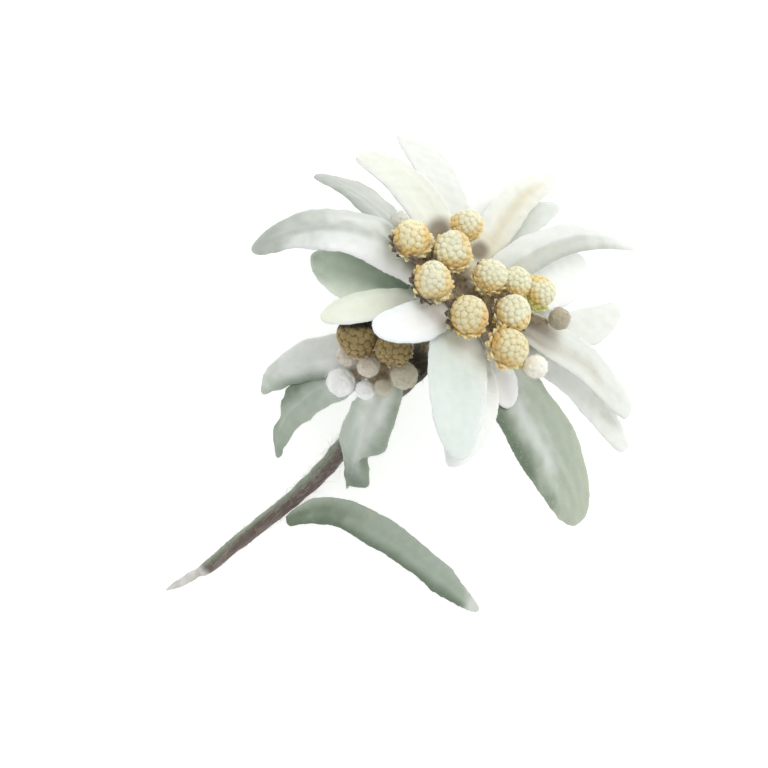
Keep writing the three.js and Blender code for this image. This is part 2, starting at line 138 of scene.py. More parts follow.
def points_of(mesh):
    flat = np.empty(len(mesh.vertices) * 3)
    mesh.vertices.foreach_get("co", flat)
    return flat.reshape(-1, 3)


def normals_of(mesh):
    flat = np.empty(len(mesh.vertices) * 3, np.float32)
    mesh.vertex_normals.foreach_get("vector", flat)
    return flat.reshape(-1, 3).astype(float)


def put_points(mesh, points):
    """Moves the points of a mesh, and lays what would sink below the surface on it."""
    points[:, 2] = np.maximum(points[:, 2], 0)
    mesh.vertices.foreach_set("co", points.ravel())
    mesh.update()


def eased(mesh, rounds):
    """Rounds the facets off. Each round pulls every point towards its neighbours and lets it out again."""
    pull = 0.5
    let_out = -0.52
    points = points_of(mesh)
    flat = np.empty(len(mesh.edges) * 2, np.int32)
    mesh.edges.foreach_get("vertices", flat)
    first, second = flat.reshape(-1, 2).T
    neighbours = np.bincount(flat, minlength=len(points))[:, None]
    for _ in range(rounds):
        for step in (pull, let_out):
            total = np.empty_like(points)
            for axis in range(3):
                total[:, axis] = np.bincount(first, points[second, axis], len(points))
                total[:, axis] += np.bincount(second, points[first, axis], len(points))
            points += step * (total / neighbours - points)
    return points


def lumps(points, spacing, seed):
    """A smooth uneven field between about -1 and 1, with bumps about that far apart."""
    count = 14
    usual_peak = 3.2  # of that many waves added up
    draw = np.random.default_rng(seed)
    waves = draw.normal(size=(count, 3))
    waves *= (draw.uniform(0.7, 1.4, count) * math.pi / spacing / np.linalg.norm(waves, axis=1))[:, None]
    phases = draw.uniform(0, 2 * math.pi, count)
    return np.sin(points @ waves.T + phases).sum(axis=1) / usual_peak


def smooth_step(values, start, end):
    share = np.clip((values - start) / (end - start), 0, 1)
    return share * share * (3 - 2 * share)


def store(mesh, **fields):
    """Keeps a number for each point, for the materials and the wool to read."""
    for name, values in fields.items():
        layer = mesh.attributes.new(name, "FLOAT", "POINT")
        layer.data.foreach_set("value", np.asarray(values, np.float32))


def linear(code):
    """The shader's colour for a colour written as six hexadecimal digits."""
    parts = [int(code[i:i + 2], 16) / 255 for i in (0, 2, 4)]
    return tuple(p / 12.92 if p <= 0.04045 else ((p + 0.055) / 1.055) ** 2.4 for p in parts) + (1,)


def add_node(tree, kind, values=None, **settings):
    """Adds a node with its settings, the values of its inputs, and links where a value is an output."""
    node = tree.nodes.new(kind)
    for name, value in settings.items():
        setattr(node, name, value)
    for name, value in (values or {}).items():
        if isinstance(value, bpy.types.NodeSocket):
            tree.links.new(value, node.inputs[name])
        else:
            node.inputs[name].default_value = value
    return node


def new_tree(name, kind, inputs, outputs):
    """An empty node group with named inputs and outputs, and its two end nodes."""
    tree = bpy.data.node_groups.new(name, kind)
    for label, (socket, default) in inputs.items():
        made = tree.interface.new_socket(label, in_out="INPUT", socket_type="NodeSocket" + socket)
        if default is not None:
            made.default_value = default
    for label, socket in outputs.items():
        tree.interface.new_socket(label, in_out="OUTPUT", socket_type="NodeSocket" + socket)
    return tree, tree.nodes.new("NodeGroupInput").outputs, tree.nodes.new("NodeGroupOutput").inputs


def shade_in_hollows(points):
    """How much painted shade of the hollows between heads lies on each point, seen from above: 0 is none."""
    # brown is the strength of that painted shade.
    brown = np.zeros(len(points))
    for (first, second), (reach, strength) in SHADED_HOLLOWS.items():
        middle = (sum(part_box(first), Vector()) + sum(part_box(second), Vector())) / 4
        away = np.hypot(points[:, 0] - middle.x, points[:, 1] - middle.y)
        brown = np.maximum(brown, strength * (1 - smooth_step(away, 0.5 * reach, 1.5 * reach)))
    return brown


def attribute(tree, name):
    return add_node(tree, "ShaderNodeAttribute", attribute_name=name).outputs["Fac"]


def fade(tree, value, start, end):
    """A mask that rises smoothly from 0 to 1 as the value goes from start to end."""
    values = {"Value": value, "From Min": start, "From Max": end}
    return add_node(tree, "ShaderNodeMapRange", values, interpolation_type="SMOOTHSTEP").outputs["Result"]


def blended(tree, mask, below, above):
    """The colour below, or the one above where the mask is 1."""
    return add_node(tree, "ShaderNodeMix", {0: mask, 6: below, 7: above}, data_type="RGBA").outputs[2]


def arithmetic(tree, operation, first, second=0):
    return add_node(tree, "ShaderNodeMath", {0: first, 1: second}, operation=operation).outputs[0]


def plus(tree, first, second):
    return arithmetic(tree, "ADD", first, second)


def minus(tree, first, second):
    return arithmetic(tree, "SUBTRACT", first, second)


def times(tree, first, second):
    return arithmetic(tree, "MULTIPLY", first, second)


def noise(tree, scale, detail, stretch=(1, 1, 1), turn=(0, 0, 0)):
    """Noise on the flower's own coordinates, centred on 0."""
    place = add_node(tree, "ShaderNodeTexCoord").outputs["Object"]
    values = {"Vector": place, "Rotation": turn, "Scale": stretch}
    mapped = add_node(tree, "ShaderNodeMapping", values).outputs[0]
    values = {"Vector": mapped, "Scale": scale, "Detail": detail}
    fac = add_node(tree, "ShaderNodeTexNoise", values).outputs[0]
    return minus(tree, fac, 0.5)


def vectors(tree, operation, first, second):
    """A node of vector arithmetic. What SCALE multiplies by is a number, in a socket of its own."""
    values = {0: first, 3 if operation == "SCALE" else 1: second}
    return add_node(tree, "ShaderNodeVectorMath", values, operation=operation).outputs


def matted():
    """The look of matted hairs: fine fibres that cross each other, and a mottling of the colour."""
    inputs = {"Color": ("Color", None), "Mottling": ("Float", 0.1)}
    outputs = {"Color": "Color", "Height": "Float"}
    tree, given, result = new_tree("matted hairs", "ShaderNodeTree", inputs, outputs)
    fineness = 5200
    stretch = (0.14, 1, 1)
    fibres = noise(tree, fineness, 2, stretch, (0, 0.2, 0.35))
    for turn in ((0.3, 0, 1.4), (-0.3, 0.3, 2.5)):
        fibres = arithmetic(tree, "MAXIMUM", fibres, noise(tree, fineness, 2, stretch, turn))
    fibres = minus(tree, fibres, 0.1)
    broad = noise(tree, 700, 3)
    light = plus(tree, times(tree, plus(tree, fibres, broad), given["Mottling"]), 1)
    tree.links.new(vectors(tree, "SCALE", given["Color"], light)["Vector"], result["Color"])
    tree.links.new(plus(tree, fibres, times(tree, broad, 0.5)), result["Height"])
    return tree


MATTED = matted()


def finished(name, colour_of, mottling, roughness, sheen, bump, glow=0.0, glow_depth=0.6 * MM):
    """A material: its colour comes from colour_of, and matted hairs give its unevenness and its bump. Light
    goes some way through it where glow is above 0."""
    material = bpy.data.materials.new(name)
    material.use_nodes = True
    tree = material.node_tree
    tree.nodes.clear()
    shader = add_node(tree, "ShaderNodeBsdfPrincipled")
    shader.inputs["Roughness"].default_value = roughness
    shader.inputs["Specular IOR Level"].default_value = 0.2
    shader.inputs["Sheen Weight"].default_value = sheen
    shader.inputs["Sheen Roughness"].default_value = 0.6
    shader.inputs["Subsurface Weight"].default_value = glow
    shader.inputs["Subsurface Radius"].default_value = (1, 1, 1)
    shader.inputs["Subsurface Scale"].default_value = glow_depth
    hairs = add_node(tree, "ShaderNodeGroup", node_tree=MATTED)
    hairs.inputs["Mottling"].default_value = mottling
    tree.links.new(colour_of(tree), hairs.inputs["Color"])
    tree.links.new(hairs.outputs["Color"], shader.inputs["Base Color"])
    values = {"Strength": bump, "Distance": 0.06 * MM, "Height": hairs.outputs["Height"]}
    raised = add_node(tree, "ShaderNodeBump", values)
    tree.links.new(raised.outputs["Normal"], shader.inputs["Normal"])
    output = add_node(tree, "ShaderNodeOutputMaterial")
    tree.links.new(shader.outputs[0], output.inputs[0])
    return material


def combined(tree, **parts):
    return add_node(tree, "ShaderNodeCombineXYZ", parts).outputs[0]


def chance(tree, low, high, seed):
    """A random number for each point or copy."""
    values = {2: low, 3: high, "Seed": seed}
    return add_node(tree, "FunctionNodeRandomValue", values, data_type="FLOAT").outputs[1]


def field_of(tree, name, data_type="FLOAT"):
    """What a mesh keeps under a name."""
    return add_node(tree, "GeometryNodeInputNamedAttribute", {"Name": name}, data_type=data_type).outputs[0]


def keeping(tree, geometry, name, value, data_type="FLOAT", domain="POINT"):
    """A geometry that keeps a field under a name."""
    values = {"Geometry": geometry, "Name": name, "Value": value}
    settings = {"data_type": data_type, "domain": domain}
    return add_node(tree, "GeometryNodeStoreNamedAttribute", values, **settings).outputs[0]


def copied(tree, spots, piece, facing, size):
    values = {"Points": spots, "Instance": piece, "Rotation": facing, "Scale": size}
    return add_node(tree, "GeometryNodeInstanceOnPoints", values).outputs[0]


def joined(tree, core, copies):
    """A core and what stands on it, made real."""
    both = add_node(tree, "GeometryNodeJoinGeometry")
    tree.links.new(core, both.inputs[0])
    tree.links.new(copies, both.inputs[0])
    return add_node(tree, "GeometryNodeRealizeInstances", {"Geometry": both.outputs[0]}).outputs[0]


def give(tree, geometry, finish, result):
    """Sets the finish, and puts a geometry out of its group."""
    values = {"Geometry": geometry, "Material": finish}
    tree.links.new(add_node(tree, "GeometryNodeSetMaterial", values).outputs[0], result)


def wool():
    """Grows crimped hairs on a mesh, as many as its `woolly` field asks for, and keeps the mesh."""
    inputs = {
        "Skin": ("Geometry", None),
        "Hairs per square metre": ("Float", 1e6),
        "Length": ("Float", MM),
        "Thickness": ("Float", 0.07 * MM),
        "Lean": ("Float", 1.4),
        "Crimp": ("Float", 0.8 * MM),
        "Seed": ("Int", 1),
        "Finish": ("Material", None),
    }
    tree, given, result = new_tree("wool", "GeometryNodeTree", inputs, {"Geometry": "Geometry"})
    density = times(tree, given["Hairs per square metre"], field_of(tree, "woolly"))
    values = {"Mesh": given["Skin"], "Density": density, "Seed": given["Seed"]}
    settings = {"distribute_method": "RANDOM"}
    roots = add_node(tree, "GeometryNodeDistributePointsOnFaces", values, **settings).outputs
    rooted = keeping(tree, roots["Points"], "out_of_skin", roots["Normal"], "FLOAT_VECTOR")
    # One hair is a thin cone, 1 high and 1 thick, which is scaled to its length and thickness.
    values = {"Vertices": 3, "Side Segments": 2, "Radius Top": 0.12, "Radius Bottom": 0.5, "Depth": 1}
    cone = add_node(tree, "GeometryNodeMeshCone", values, fill_type="NGON").outputs["Mesh"]
    place = add_node(tree, "GeometryNodeInputPosition").outputs[0]
    height = add_node(tree, "ShaderNodeSeparateXYZ", {0: place}).outputs["Z"]
    hair = keeping(tree, cone, "up_hair", height)
    lean = times(tree, given["Lean"], chance(tree, 0.85, 1.04, 11))
    turn = combined(tree, X=lean, Z=chance(tree, 0, 2 * math.pi, 12))
    values = {0: roots["Rotation"], 1: add_node(tree, "FunctionNodeEulerToRotation", {0: turn}).outputs[0]}
    facing = add_node(tree, "FunctionNodeRotateRotation", values, rotation_space="LOCAL").outputs[0]
    long = times(tree, given["Length"], chance(tree, 0.5, 1.3, 13))
    size = combined(tree, X=given["Thickness"], Y=given["Thickness"], Z=long)
    real = joined(tree, given["Skin"], copied(tree, rooted, hair, facing, size))
    # Every hair bends on its own way along the skin, and never down into it.
    out = field_of(tree, "out_of_skin", "FLOAT_VECTOR")
    waves = add_node(tree, "ShaderNodeTexNoise", {"Vector": place, "Scale": 800, "Detail": 1}).outputs[1]
    centred = vectors(tree, "SUBTRACT", waves, (0.5, 0.5, 0.5))["Vector"]
    rise = vectors(tree, "DOT_PRODUCT", centred, out)["Value"]
    level = vectors(tree, "SCALE", out, times(tree, rise, -0.9))["Vector"]
    aside = vectors(tree, "ADD", centred, level)["Vector"]
    bend = times(tree, field_of(tree, "up_hair"), given["Crimp"])
    values = {"Geometry": real, "Offset": vectors(tree, "SCALE", aside, bend)["Vector"]}
    crimped = add_node(tree, "GeometryNodeSetPosition", values).outputs[0]
    smooth = add_node(tree, "GeometryNodeSetShadeSmooth", {"Geometry": crimped}).outputs[0]
    give(tree, smooth, given["Finish"], result["Geometry"])
    return tree


WOOL = wool()


def grown(mesh, tree, values):
    """Runs a geometry tree over a mesh and gives the result as a plain mesh."""
    holder = holder_of(mesh, tree.name)
    modifier = holder.modifiers.new(tree.name, "NODES")
    modifier.node_group = tree
    for socket in tree.interface.items_tree:
        if socket.in_out == "INPUT" and socket.name in values:
            modifier[socket.identifier] = values[socket.name]
    return plain_mesh(holder)


def dressed(mesh, node):
    """Makes a finished mesh the piece that stands for a node, with none of it below the surface."""
    put_points(mesh, points_of(mesh))
    piece = holder_of(mesh, "fine_" + node)
    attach(piece, "root")
    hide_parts(node)


def stem_colour(tree):
    colours = {name: linear(code) for name, code in STEM_COLOURS.items()}
    side = plus(tree, attribute(tree, "side"), noise(tree, 700, 3, (0.2, 1, 1)))
    skin = blended(tree, fade(tree, side, 0.1, 0.8), colours["skin"], colours["green side"])
    ribs = fade(tree, noise(tree, 2600, 3, (0.06, 1, 1)), -0.06, 0.14)
    ribbed = blended(tree, times(tree, ribs, 0.45), skin, colours["ribs"])
    ending = fade(tree, attribute(tree, "along"), TORN_START, TORN_END)
    torn = blended(tree, ending, ribbed, colours["torn end"])
    patches = fade(tree, noise(tree, 420, 2), -0.12, 0.1)
    top = blended(tree, patches, colours["brown wool"], colours["yellow wool"])
    topped = blended(tree, attribute(tree, "cushion"), torn, top)
    hair = times(tree, fade(tree, attribute(tree, "up_hair"), 0, 0.3), 0.7)
    hairy = blended(tree, hair, topped, colours["hair"])
    # Painted shade: grey-brown in the hollows between the heads.
    hollow = blended(tree, attribute(tree, "hollow"), hairy, colours["hollow"])
    # Painted deep shadow in the neck, where the branch and the stem part.
    return blended(tree, attribute(tree, "neck"), hollow, colours["neck"])


stem = evenly_faced(merged_copy("stem"), STEM_FACES)
put_points(stem, eased(stem, STEM_ROUNDS))
places = points_of(stem)
around = normals_of(stem)
ribbing = lumps(places * RIB_STRETCH, RIB_SPACING, seed=21) * STEM_RIBS
knobs = lumps(places, KNOB_SPACING, seed=22) * STEM_RIBS
from_bulge = np.linalg.norm(places - np.array(BULGE), axis=1) / BULGE_REACH
raised = ribbing + knobs + BULGE_HEIGHT * np.exp(-from_bulge ** 2)
put_points(stem, places + around * raised[:, None])
low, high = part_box("stem")
from_neck = np.linalg.norm(places - np.array(SHADED_NECK), axis=1)
cushion = smooth_step(places[:, 2], CUSHION_START, CUSHION_END)
store(stem,
      along=(places[:, 0] - low.x) / (high.x - low.x),
      side=around[:, 1] * (1 - cushion),
      cushion=cushion,
      neck=1 - smooth_step(from_neck, 0.35 * NECK_SHADOW_REACH, NECK_SHADOW_REACH),
      hollow=shade_in_hollows(places),
      woolly=0.06 + 0.2 * smooth_step(around[:, 1], 0, 0.8) + 0.9 * cushion)
stem_skin = finished("stem skin", stem_colour, mottling=0.5, roughness=0.85, sheen=0.15, bump=0.7)
dressed(grown(stem, WOOL, {**STEM_WOOL, "Finish": stem_skin}), "stem")

# ------------------------------------------------ the stem leaf
# One narrow leaf that grew out of the stem low down and bends over to the surface. It is a thin grey-green
# blade with a channel along its middle rib, fine side veins, ragged rims and a thin grey felt.
LEAF_FOOT = Vector((-23.3, 1.2, 1.5)) * MM
LEAF_CHANNEL = 0.3 * MM
LEAF_WAVE = 0.25 * MM
LEAF_FRAY = 0.15 * MM
# For every blade, bracts too: its faces, its stations from foot to tip, and the sizes of what is on it.
BLADE_FINENESS = 2  # levels of subdivision
BLADE_FACES = 0.25 * MM
BLADE_ROUNDS = 5
STATIONS = 22
CHANNEL_WIDTH = 0.13  # as a share of half the blade's width
VEINS = 4.5  # from rim to rim
VEIN_HEIGHT = 0.05 * MM
RIM_WAVES = 7 * MM
FRAY_SPACING = 2.4 * MM
FELT_SPACING = 1.3 * MM
FELT_HEIGHT = 0.04 * MM
HAIR_WHITE = "F9FAF6"
BLADE_WOOL = {
    "Hairs per square metre": 3e6,
    "Length": 0.7 * MM,
    "Thickness": 0.035 * MM,
    "Lean": 1.4,
    "Crimp": 0.9 * MM,
}


def rounded(mesh, levels):
    holder = holder_of(mesh, "rounded")
    subdivision = holder.modifiers.new("rounded", "SUBSURF")
    subdivision.levels = subdivision.render_levels = levels
    return plain_mesh(holder)


def finely_faced(mesh, levels):
    """The same shape in finer faces, rounded between its corners, which stay where they are."""
    body = bmesh.new()
    body.from_mesh(mesh)
    limit = math.radians(60)
    limits = {"angle_face_threshold": limit, "angle_shape_threshold": limit}
    bmesh.ops.join_triangles(body, faces=body.faces, **limits)
    body.to_mesh(mesh)
    body.free()
    corners = points_of(mesh)
    drawn_in = points_of(rounded(mesh, levels))[:len(corners)]
    mesh.vertices.foreach_set("co", (2 * corners - drawn_in).ravel())
    mesh.update()
    return rounded(mesh, levels)


def spread_along(values, along):
    """Values kept for each station of a blade, for points anywhere along it."""
    middles = (np.arange(STATIONS) + 0.5) / STATIONS
    return np.stack([np.interp(along, middles, column) for column in np.asarray(values).T], axis=1)


def unit(rows):
    return rows / np.linalg.norm(rows, axis=1)[:, None]


def measured(points, foot, upwards):
    """For each point of a blade: how far along it is, from 0 at the foot to 1 at the tip, how far across,
    from -1 at the left rim to 1 at the right one, seen from the tip, and which ways are up and across."""
    out = np.linalg.norm(points - np.array(foot), axis=1)
    along = (out - out.min()) / np.ptp(out)
    station = np.minimum((along * STATIONS).astype(int), STATIONS - 1)
    line = np.stack([points[station == k].mean(axis=0) for k in range(STATIONS)])
    line[1:-1] = (line[:-2] + 2 * line[1:-1] + line[2:]) / 4
    ways = unit(np.gradient(line, axis=0))
    up = unit(upwards - (ways @ upwards)[:, None] * ways)
    ups = unit(spread_along(up, along))
    sides = unit(spread_along(np.cross(up, ways), along))
    sideways = ((points - spread_along(line, along)) * sides).sum(axis=1)
    rims = np.array([[sideways[station == k].min(), sideways[station == k].max()] for k in range(STATIONS)])
    left, right = spread_along(rims, along).T
    across = np.clip((2 * sideways - left - right) / (right - left), -1, 1)
    return along, across, ups, sides


def fine_blade(node, foot, upwards, channel, wave, fray, seed, bites=()):
    """A blade's own shape with its middle channel, veins, waved rims and felt, and its fields. Each bite is
    out of one rim: which one, how far along it is, half its length along the blade, and its depth."""
    mesh = evenly_faced(finely_faced(merged_copy(node), BLADE_FINENESS), BLADE_FACES)
    points = eased(mesh, BLADE_ROUNDS)
    along, across, ups, sides = measured(points, foot, np.array(upwards))
    put_points(mesh, points)
    normals = normals_of(mesh)
    swell = np.sin(math.pi * np.clip(along * 0.9 + 0.1, 0, 1))
    dip = -channel * np.exp(-(across / CHANNEL_WIDTH) ** 2)
    veins = VEIN_HEIGHT * np.cos(across * VEINS * math.pi) * (1 - np.abs(across))
    rims = wave * across ** 2 * lumps(points, RIM_WAVES, seed)
    lift = (dip + veins + rims) * swell
    frayed = fray * np.abs(across) ** 3 * lumps(points, FRAY_SPACING, seed + 1)
    felt = FELT_HEIGHT * lumps(points, FELT_SPACING, seed + 2)
    for rim, middle, half_length, depth in bites:
        bitten = depth * np.exp(-((along - middle) / half_length) ** 2)
        frayed -= bitten * smooth_step(across * rim, 0, 1)
    moved = points + ups * lift[:, None] + sides * (np.sign(across) * frayed)[:, None]
    put_points(mesh, moved + normals * felt[:, None])
    store(mesh,
          along=along,
          across=across,
          face=(normals * ups).sum(axis=1),
          hollow=shade_in_hollows(points),
          woolly=0.1 + 0.9 * smooth_step(np.abs(across), 0.6, 1))
    return mesh


def felt_colour(codes, tip_start=0.7, rim_start=0.4, shading_streak=None, foot_end=0.45):
    """The colours of a felted blade: at its foot, on its face, at its tip, at its two rims and underneath.
    A shading streak is a soft band along the face, painted shade where it is darker than the face and painted
    light where it is paler: its colour, how far across it runs, and half its width."""
    foot, face, tip, left, right, under = map(linear, codes.split())

    def colour(tree):
        along = attribute(tree, "along")
        across = attribute(tree, "across")
        drift = times(tree, noise(tree, 260, 2), 0.5)
        uneven_along = plus(tree, along, drift)
        uneven_across = plus(tree, across, drift)
        footed = fade(tree, uneven_along, foot_end - 0.35, foot_end)
        made = blended(tree, footed, foot, face)
        made = blended(tree, fade(tree, uneven_across, -rim_start, -1), made, left)
        made = blended(tree, fade(tree, uneven_across, rim_start, 1), made, right)
        if shading_streak:
            code, middle, half_width = shading_streak
            beside = minus(tree, uneven_across, middle)
            band = fade(tree, arithmetic(tree, "ABSOLUTE", beside), half_width, 0)
            band = times(tree, band, fade(tree, uneven_along, 0.92, 0.7))
            made = blended(tree, band, made, linear(code))
        made = blended(tree, fade(tree, uneven_along, tip_start, 1.02), made, tip)
        made = blended(tree, fade(tree, attribute(tree, "face"), 0.1, -0.3), made, under)
        hair = fade(tree, attribute(tree, "up_hair"), 0, 0.15)
        made = blended(tree, times(tree, hair, 0.6), made, linear(HAIR_WHITE))
        # Painted shade in the hollows between the heads.
        return blended(tree, attribute(tree, "hollow"), made, linear("857A69"))
    return colour


def woolly_blade(mesh, node, finish, seed):
    dressed(grown(mesh, WOOL, {**BLADE_WOOL, "Seed": seed, "Finish": finish}), node)


# Painted light and shade across the fold along its rib: its left half darker, its right half paler.
leaf_colour = felt_colour("818F79 AEBBAB DDE2DA 74826F B6C1B2 8F9C8B", tip_start=0.85, rim_start=0.1)
leaf_skin = finished("leaf felt", leaf_colour, mottling=0.2, roughness=0.85, sheen=0.1, bump=0.6)
leaf = fine_blade("stem_leaf", LEAF_FOOT, (0, 0, 1), LEAF_CHANNEL, LEAF_WAVE, LEAF_FRAY, seed=31)
woolly_blade(leaf, "stem_leaf", leaf_skin, seed=3)

# ------------------------------------------------ the bracts
# The star's white leaves: thick blades in a felt of matted white hairs, which grow in tiers from the rim of
# the cushion. Those in the light are white, and those below show the green of the leaf through the felt.
# Three withered grey-green ones droop from the side bloom.
# Much of their light and shade is painted into the felts: lightened whites for bracts in shade, and darker
# rims, tips and streaks where shade falls.
STAR_LEAN = math.radians(42)
BLOOM = Vector((20.1, 3.4, 24)) * MM
BLOOM_AXIS = (math.sin(STAR_LEAN), 0, math.cos(STAR_LEAN))
SIDE_BLOOM = Vector((4.5, 6, 19.5)) * MM
SIDE_AXIS = (-0.37, 0.16, 0.91)
FRAY = 0.06 * MM
SIDE_FRAY = 0.16 * MM
FELT_GLOW_DEPTH = 1.5 * MM
# Their colours, in the order that felt_colour names them, and where those start and end.
BRACT_FELTS = {
    "white": felt_colour("D9D9CF DFE1DB DFE1DB DBDED8 DFE1DB D0D5CC"),
    # Lightened copies of the white felt: painted light for bracts that lie in the shade of others.
    "clean white": felt_colour("EDEDE7 F1F3EF F1F3EF EFF1ED F1F3EF E2E5E0"),
    "shadow-white": felt_colour("F6F6F0 FBFCF9 FBFCF9 F9FAF7 FBFCF9 F0F2EE"),
    "shaded": felt_colour("CDD2CB DFE2DD E1E4DF B9BDB4 E1E4DF D4D9D0", rim_start=0.2,
                          shading_streak=("CACCC3", -0.35, 0.55)),
    "brown-footed": felt_colour("B1A896 DDE0D9 DDE0DA DFE2DB DBDED8 D3D8CF",
                                shading_streak=("CDCCC1", -0.2, 0.5), foot_end=0.6),
    # Lightened as painted light where it lies in the shade of upper_bract_5, its lit tip painted darker.
    "white-tipped": felt_colour("F9FAF7 FBFCF9 DDE0DA F0F2EE FBFCF9 E6E9E4", tip_start=0.5),
    "cream": felt_colour("DFD9C1 E5E6DC E6E9E0 DCDDCF E6E8E0 D6DBCD", shading_streak=("DBD6C2", -0.2, 0.6)),
    "yellow-white": felt_colour("D6D4C2 E1E4D8 E2E4DA E1E3D7 E1E3DC D0D5C7"),
    "blue-white": felt_colour("FCFCF6 F7FAF9 EAF2F6 E9F1F5 EDF4F6 CCD9DD"),
    "pale grey": felt_colour("F2F5F1 DBE4DE D4DDD6 D8E0DB E3E9E5 C2CDC5"),
    # Painted shade on its tip, which bends away from the light, and on its left half, beside its fold.
    "grey-tipped": felt_colour("C2CAC3 E3E7E2 AFB5AD CAD0C8 EFF2F0 9DA89F", tip_start=0.52, rim_start=0.0,
                               shading_streak=("C2C8C0", -0.05, 0.35)),
    "grey": felt_colour("D9DDD8 C9CDC7 B5BAB2 D6D9D3 ACB2AA 98A49A", tip_start=0.6, rim_start=0.1),
    # A white bract painted grey with the shade it lies in behind upper_bract_6.
    "ash": felt_colour("B2B9AE D2D6CF DFE2DE DBDED8 C3C7BF A9B1A5", tip_start=0.6, rim_start=0.1),
    "yellow-green": felt_colour("EFF0E6 EAEEDF DFE5D3 DCE3D0 EDF0E6 BFCBB2"),
    # Its left rim is painted with the shadow that upper_bract_2 casts over it.
    "dark green": felt_colour("ACB9A9 C4CFBF A9B4A4 8A967F DAE1D3 8A9888", tip_start=0.75, rim_start=0.0),
    "grey-green": felt_colour("C9CEC7 ACB5A6 AEB6A5 707D6B B2B9A9 8C9888", tip_start=0.6, rim_start=0.35,
                              shading_streak=("CAD0CA", -0.3, 0.42)),
    # Its left rim is painted shade, where side_upper_bract_1 lies over it.
    "torn withered": felt_colour("E9EEEA B5C0B3 9DA999 6F7E6A B4BDB0 8C9A88", tip_start=0.6, rim_start=0.0),
    "withered": felt_colour("F4F7F4 C4CDC2 7F8C7A BAC4B8 A3AE9F 8C9A88", tip_start=0.4, rim_start=0.2,
                            shading_streak=("D6DBD4", 0.1, 0.5)),
    # Its right rim, along side_upper_bract_2, is painted shade.
    "pale withered": felt_colour("E9ECE9 DADED9 B2BCAE DEE1DC 869381 97A493", tip_start=0.62, rim_start=0.15),
}
# Node by node: its felt, and how deep its channel is and how far its rims wave, in millimetres.
BRACTS = {
    "upper_bract_1": ("yellow-white", 0.12, 0.3),
    "upper_bract_2": ("grey-tipped", -0.2, 0.35),
    "upper_bract_3": ("blue-white", 0.1, 0.2),
    "upper_bract_4": ("pale grey", 0.14, 0.25),
    "upper_bract_5": ("brown-footed", 0.16, 0.3),
    "upper_bract_6": ("shaded", -0.2, 0.35),
    "middle_bract_1": ("cream", 0.14, 0.3),
    "middle_bract_2": ("white", 0.12, 0.3),
    "middle_bract_3": ("grey", -0.12, 0.3),
    "middle_bract_4": ("yellow-green", 0.1, 0.2),
    "middle_bract_5": ("clean white", 0.1, 0.25),
    "middle_bract_6": ("shadow-white", 0.1, 0.2),
    "middle_bract_7": ("clean white", 0.1, 0.25),
    "lower_bract_1": ("ash", 0.1, 0.2),
    "lower_bract_2": ("clean white", 0.1, 0.2),
    "lower_bract_3": ("dark green", 0.12, 0.25),
    "lower_bract_4": ("grey-green", -0.22, 0.35),
    "lower_bract_5": ("white-tipped", 0.1, 0.3),
    "lower_bract_6": ("white", 0.1, 0.3),
    "side_upper_bract_1": ("pale withered", -0.16, 0.35),
    "side_upper_bract_2": ("torn withered", -0.16, 0.4),
    "side_upper_bract_3": ("withered", -0.16, 0.4),
}
# What is torn or eaten out of a bract's rims, and where a rim swells out, which is a bite below 0.
BITES = {
    "side_upper_bract_1": ((-1, 0.2, 0.2, -0.9 * MM),),
    "side_upper_bract_2": ((-1, 0.76, 0.06, 0.9 * MM), (1, 0.96, 0.05, -0.5 * MM)),
    "side_upper_bract_3": ((1, 0.62, 0.06, 1.7 * MM), (1, 0.82, 0.09, -1.5 * MM), (1, 1.0, 0.09, 1.1 * MM),
                           (-1, 0.28, 0.12, 1.1 * MM), (-1, 0.55, 0.08, -0.7 * MM)),
    "upper_bract_2": ((1, 0.78, 0.08, 0.8 * MM),),
    "middle_bract_3": ((-1, 0.77, 0.12, -0.8 * MM), (1, 0.8, 0.12, 0.6 * MM)),
}
felts = {}
for name, colour in BRACT_FELTS.items():
    felts[name] = finished(name + " felt", colour, mottling=0.1, roughness=0.95, sheen=0.1, bump=0.5,
                           glow=0.6, glow_depth=FELT_GLOW_DEPTH)
for number, (node, (felt_name, channel, wave)) in enumerate(BRACTS.items()):
    foot, upwards, fray, slot = BLOOM, BLOOM_AXIS, FRAY, "bract"
    if node.startswith("side"):
        foot, upwards, fray, slot = SIDE_BLOOM, SIDE_AXIS, SIDE_FRAY, "side_bract"
    bites = BITES.get(node, ())
    blade = fine_blade(node, foot, upwards, channel * MM, wave * MM, fray, 100 + 10 * number, bites)
    woolly_blade(blade, node, felts[felt_name], number)

# ------------------------------------------------ the flower heads
# Ten open heads stand on the star, and two withered ones on the side bloom. Each is a woolly cup, scaled
# like a cone with golden and dark brown scales, packed with tiny tubular florets that open in five lobes.
CUP_FACES = 0.16 * MM
CUP_ROUNDS = 6
FLORETS = 70
FLORET_LOBES = 5
# A floret's radii, and how far from its mouth its foot, its waist, its puff and its style are.
FLORET = {
    "foot": 0.3 * MM,
    "mouth": 0.6 * MM,
    "notch": 0.5 * MM,
    "throat": 0.13 * MM,
    "depth": 0.5 * MM,
    "waist": 0.18 * MM,
    "puff": 0.09 * MM,
    "style": 0.15 * MM,
}
SCALES = 34
SCALE = {"length": 1.25 * MM, "width": 1.25 * MM, "thickness": 0.34 * MM, "curve": 0.38 * MM}
